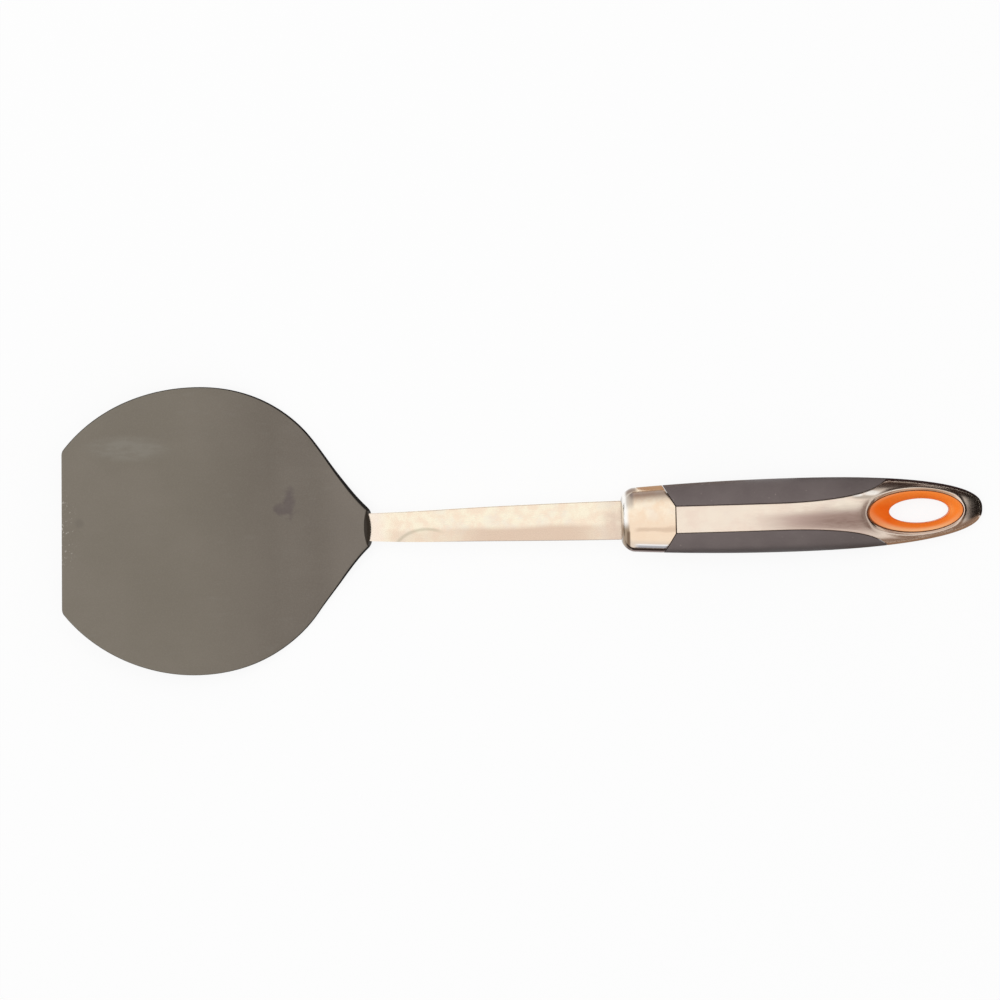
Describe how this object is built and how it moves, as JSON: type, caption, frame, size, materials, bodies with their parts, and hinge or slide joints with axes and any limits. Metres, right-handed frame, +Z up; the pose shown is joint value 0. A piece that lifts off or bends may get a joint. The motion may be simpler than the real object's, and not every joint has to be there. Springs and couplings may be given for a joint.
{
  "type": "turner spatula",
  "caption": "Turner spatula with a round nylon blade, a flat steel shank and a steel and rubber handle that ends in an oval hanging hole.",
  "frame": {"origin": "centre of the bounding box's base; the heel of the blade and the far end of the handle touch z = 0", "axes": "+X from the blade to the end of the handle, +Z up, +Y across; the part is the same on both sides of y = 0"},
  "size_m": [0.3532, 0.1116, 0.027],
  "materials": {
    "blade_nylon": "fine matte moulded nylon, a little worn",
    "shank_steel": "satin, warm reflections",
    "collar_steel": "polished",
    "shell_steel": "satin",
    "grip_rubber": "soft matte",
    "ring_plastic": "smooth, half gloss",
    "core_plastic": "moulded",
    "pin_steel": "plain"
  },
  "bodies": {
    "root": {"blade": "blade_nylon", "shank": "shank_steel", "ferrule": "collar_steel", "handle_core": "core_plastic", "upper_shell": "shell_steel", "lower_shell": "shell_steel", "left_grip": "grip_rubber", "right_grip": "grip_rubber", "hole_ring": "ring_plastic", "front_tang_pin": "pin_steel", "rear_tang_pin": "pin_steel"}
  },
  "joints": []
}
